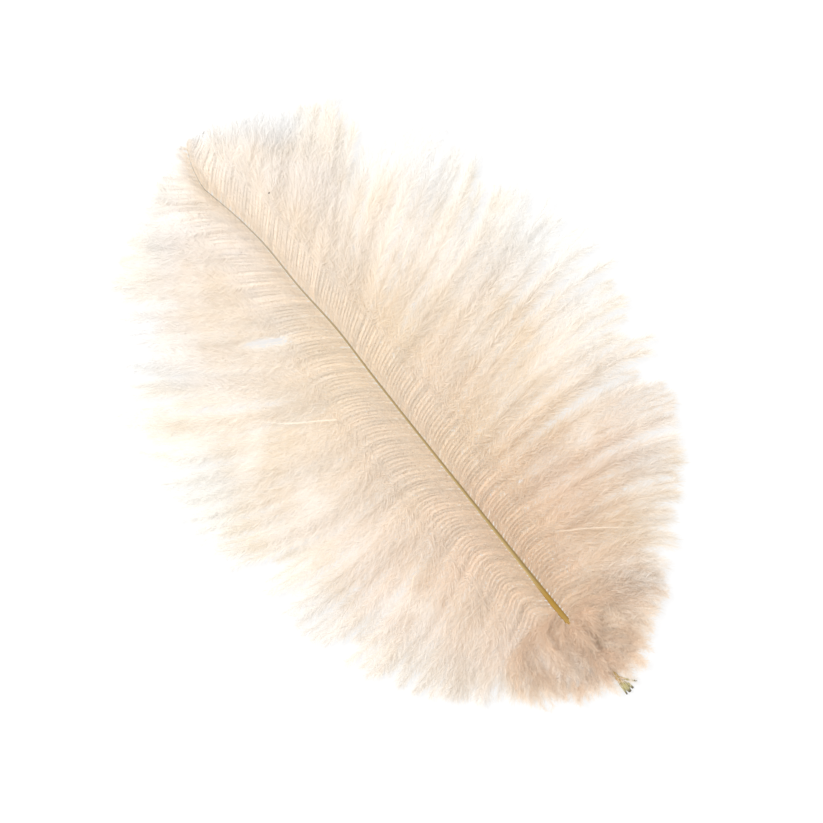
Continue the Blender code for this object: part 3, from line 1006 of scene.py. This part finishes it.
class FEATHER_OT_vanes(bpy.types.Operator):
    """Make both vanes of fluffy barbs"""
    bl_idname = "feather.vanes"
    bl_label = "Vanes"

    def execute(self, context):
        settings = context.scene.feather_vanes
        root, tip = np.array(settings.root_color), np.array(settings.tip_color)
        look = {
            "near": settings.near_reach / MM, "far": settings.far_reach / MM,
            "near_width": settings.barbule_width * 1.7 / MM,
            "far_width": settings.barbule_width * 0.78 / MM, "tangle": 0.16, "crowd": 0.97,
        }
        sides = (
            ("left", LEFT_SEED, tip, FOOT_TINT_AND_TIP_LIGHT),
            ("right", RIGHT_SEED, tip * (0.99, 0.978, 0.955), RIGHT_FOOT_TINT_AND_TIP_LIGHT),
        )
        for side, seed, end, foot_tint_and_light in sides:
            look["sleek"], look["ridge_end"] = SLEEK_END[side], RIDGES_END[side]
            stops = [
                (0.0, tuple(root)), (0.10, tuple(root + (end - root) * 0.25)),
                (0.35, tuple(root + (end - root) * 0.65)), (0.65, tuple(end)),
                (0.85, (0.965, 0.957, 0.946)), (1.0, (0.965, 0.963, 0.958)),
            ]
            rng = np.random.default_rng(seed)
            row = vane_row(side, settings, rng)
            for zone, low, high in ZONES:
                chosen = np.nonzero((row.station >= low) & (row.station < high))[0]
                soup = Soup()
                add_rami(soup, row, chosen)
                add_barbules(soup, row, chosen, rng, settings.density, look)
                fluff = barb_material(
                    f"{side}_{zone}_barbs", stops, BARB_PATCH, len(chosen), 0.55, foot_tint_and_light)
                piece = soup.make(f"{side}_vane_{zone}", fluff)
                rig.ride(piece, "root")
                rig.replaces(piece, f"{side}_vane")
                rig.slot(piece, "barbs")
        return {"FINISHED"}


class FEATHER_OT_quill_end(bpy.types.Operator):
    """Make the frayed end of the quill, split into splinters"""
    bl_idname = "feather.quill_end"
    bl_label = "Frayed Quill End"

    def execute(self, context):
        soup = Soup()
        for splinter in SPLINTERS:
            add_splinter(soup, splinter, 10)
        end = soup.make("frayed_quill_end", frayed_material(), smooth=True)
        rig.ride(end, "root")
        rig.replaces(end, "shaft")
        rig.slot(end, "horn")
        return {"FINISHED"}


class FEATHER_OT_base_down(bpy.types.Operator):
    """Make the tangled tufts of down round the foot of the shaft"""
    bl_idname = "feather.base_down"
    bl_label = "Base Down"

    def execute(self, context):
        settings = context.scene.feather_down
        rng = np.random.default_rng(DOWN_SEED)
        row = tuft_row(settings.barbs, rng)
        look = {
            "ridge_end": 1.0, "near": 2.2, "far": 3.6, "near_width": 0.13, "far_width": 0.12,
            "tangle": 0.5, "sleek": 0.1, "crowd": 1.0,
        }
        soup = Soup()
        chosen = np.arange(len(row.wave))
        add_rami(soup, row, chosen, steps=12, half_width=0.06, foot_width=0.10)
        add_barbules(soup, row, chosen, rng, settings.density, look)
        base = np.array(settings.color)
        stops = [
            (0.0, tuple(base)), (0.4, tuple(base + 0.02)), (0.75, (0.975, 0.92, 0.85)),
            (1.0, (0.99, 0.96, 0.92)),
        ]
        fluff = barb_material("base_down", stops, DOWN_PATCH, 60, 0.65)
        down = soup.make("tangled_base_down", fluff)
        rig.ride(down, "root")
        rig.replaces(down, "base_down")
        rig.slot(down, "down")
        return {"FINISHED"}


class FEATHER_OT_strays(bpy.types.Operator):
    """Make the few stray barbs that lie across the vanes, and a speck of dirt"""
    bl_idname = "feather.strays"
    bl_label = "Stray Barbs and Speck"

    def execute(self, context):
        settings = context.scene.feather_vanes
        rng = np.random.default_rng(STRAY_SEED)
        rows = {
            "left": vane_row("left", settings, np.random.default_rng(LEFT_SEED)),
            "right": vane_row("right", settings, np.random.default_rng(RIGHT_SEED)),
        }
        ends = []
        for side, *places in STRAYS:
            spots = zip(places[::2], places[1::2])
            ends.append([(x, s, surface_height(rows[side], x, s) + STRAY_LIFT) for x, s in spots])
        root, elbow, tip = (np.array([end[k] for end in ends]) for k in range(3))
        way = unit(tip - root)
        row = BarbRow(
            barb_course(root, way, 6.0, elbow, way, tip, way), np.zeros(root.shape),
            rng.uniform(0.2, 0.5, len(root)), rng.uniform(0, 1, len(root)), np.zeros(len(root)))
        look = {
            "ridge_end": 60.0, "near": 1.0, "far": 2.5, "near_width": 0.11, "far_width": 0.11,
            "tangle": 0.3, "sleek": 0.1, "crowd": 1.0,
        }
        soup = Soup()
        chosen = np.arange(len(root))
        add_rami(soup, row, chosen, steps=14, half_width=0.15, foot_width=0.15)
        add_barbules(soup, row, chosen, rng, 3.0, look)
        stops = [(0.0, (0.97, 0.90, 0.80)), (0.5, (0.98, 0.93, 0.86)), (1.0, (0.98, 0.95, 0.91))]
        fluff = barb_material("stray_barbs", stops, STRAY_PATCH, len(root), 0.3)
        strays = soup.make("stray_barbs", fluff)
        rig.ride(strays, "root")
        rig.slot(strays, "barbs")

        x, s = SPECK
        height = surface_height(rows["right"], x, s)
        soup = Soup()
        add_pebble(soup, (x, s, height + 0.25), SPECK_SIZE, rng)
        speck = soup.make("speck_of_dirt", dirt_material(), smooth=True)
        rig.ride(speck, "root")
        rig.slot(speck, "barbs")
        return {"FINISHED"}


class FEATHER_OT_stage(bpy.types.Operator):
    """Make the pale floor, the soft light and the camera"""
    bl_idname = "feather.stage"
    bl_label = "Stage"

    def execute(self, context):
        settings = context.scene.feather_stage
        bpy.ops.mesh.primitive_plane_add(size=6.0, location=(0, 0, 0))
        floor = context.object
        floor.name = "floor"
        paper, nodes, links = new_material("white_paper")
        shader = principled(nodes, 0.9, 0.1)
        shader.inputs["Base Color"].default_value = (FLOOR_GREY, FLOOR_GREY, FLOOR_GREY, 1)
        shader.inputs["Emission Color"].default_value = (1, 1, 1, 1)
        shader.inputs["Emission Strength"].default_value = settings.floor_glow
        link_output(nodes, links, shader)
        floor.data.materials.append(paper)
        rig.stage(floor)

        world_light = bpy.data.worlds.new("soft_sky")
        world_light.use_nodes = True
        sky = world_light.node_tree.nodes["Background"]
        sky.inputs["Color"].default_value = (1, 1, 1, 1)
        sky.inputs["Strength"].default_value = settings.sky
        context.scene.world = world_light

        lamp = bpy.data.lights.new("key_light", "AREA")
        lamp.shape = "DISK"
        lamp.size = 0.5
        lamp.energy = settings.key
        key = bpy.data.objects.new("key_light", lamp)
        key.location = (-0.35, 0.75, 0.75)
        key.rotation_mode = "QUATERNION"
        key.rotation_quaternion = (-key.location).to_track_quat("-Z", "Y")
        context.scene.collection.objects.link(key)

        lens = bpy.data.cameras.new("camera")
        lens.sensor_width = 36.0
        lens.lens = settings.lens
        lens.clip_start = 0.01
        camera = bpy.data.objects.new("camera", lens)
        distance = settings.view_width * settings.lens / lens.sensor_width
        camera.location = (-1.0 * MM, 1.0 * MM, distance + 4 * MM)
        camera.rotation_euler = (0, 0, math.radians(CAMERA_TURN))
        context.scene.collection.objects.link(camera)
        context.scene.camera = camera
        context.scene.view_settings.view_transform = "Standard"
        return {"FINISHED"}


class FEATHER_PT_panel(bpy.types.Panel):
    """Buttons for each part of the feather"""
    bl_label = "Ostrich Feather"
    bl_idname = "FEATHER_PT_panel"
    bl_space_type = "VIEW_3D"
    bl_region_type = "UI"
    bl_category = "Feather"

    def draw(self, context):
        for group, operator in (
            ("feather_shaft", "feather.shaft"), (None, "feather.quill_end"),
            ("feather_vanes", "feather.vanes"), ("feather_down", "feather.base_down"),
            (None, "feather.strays"), ("feather_stage", "feather.stage"),
        ):
            box = self.layout.box()
            settings = getattr(context.scene, group) if group else None
            for name in settings.bl_rna.properties.keys() if group else ():
                if name not in ("rna_type", "name"):
                    box.prop(settings, name)
            box.operator(operator)


GROUPS = {
    "feather_shaft": ShaftSettings, "feather_vanes": VaneSettings,
    "feather_down": DownSettings, "feather_stage": StageSettings,
}
CLASSES = (
    *GROUPS.values(), FEATHER_OT_shaft, FEATHER_OT_quill_end, FEATHER_OT_vanes,
    FEATHER_OT_base_down, FEATHER_OT_strays, FEATHER_OT_stage, FEATHER_PT_panel,
)


def register():
    for item in CLASSES:
        bpy.utils.register_class(item)
    for name, group in GROUPS.items():
        setattr(bpy.types.Scene, name, bpy.props.PointerProperty(type=group))


def unregister():
    for name in GROUPS:
        delattr(bpy.types.Scene, name)
    for item in reversed(CLASSES):
        bpy.utils.unregister_class(item)


def main():
    register()
    bpy.ops.feather.shaft()
    bpy.ops.feather.quill_end()
    bpy.ops.feather.vanes()
    bpy.ops.feather.base_down()
    bpy.ops.feather.strays()
    bpy.ops.feather.stage()
    sizes = {
        "cad": [list(corner) for corner in CAD_BOX],
        "visual": [list(corner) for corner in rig.bounds()],
    }
    with open("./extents.json", "w") as out:
        json.dump(sizes, out)


if __name__ == "__main__":
    main()
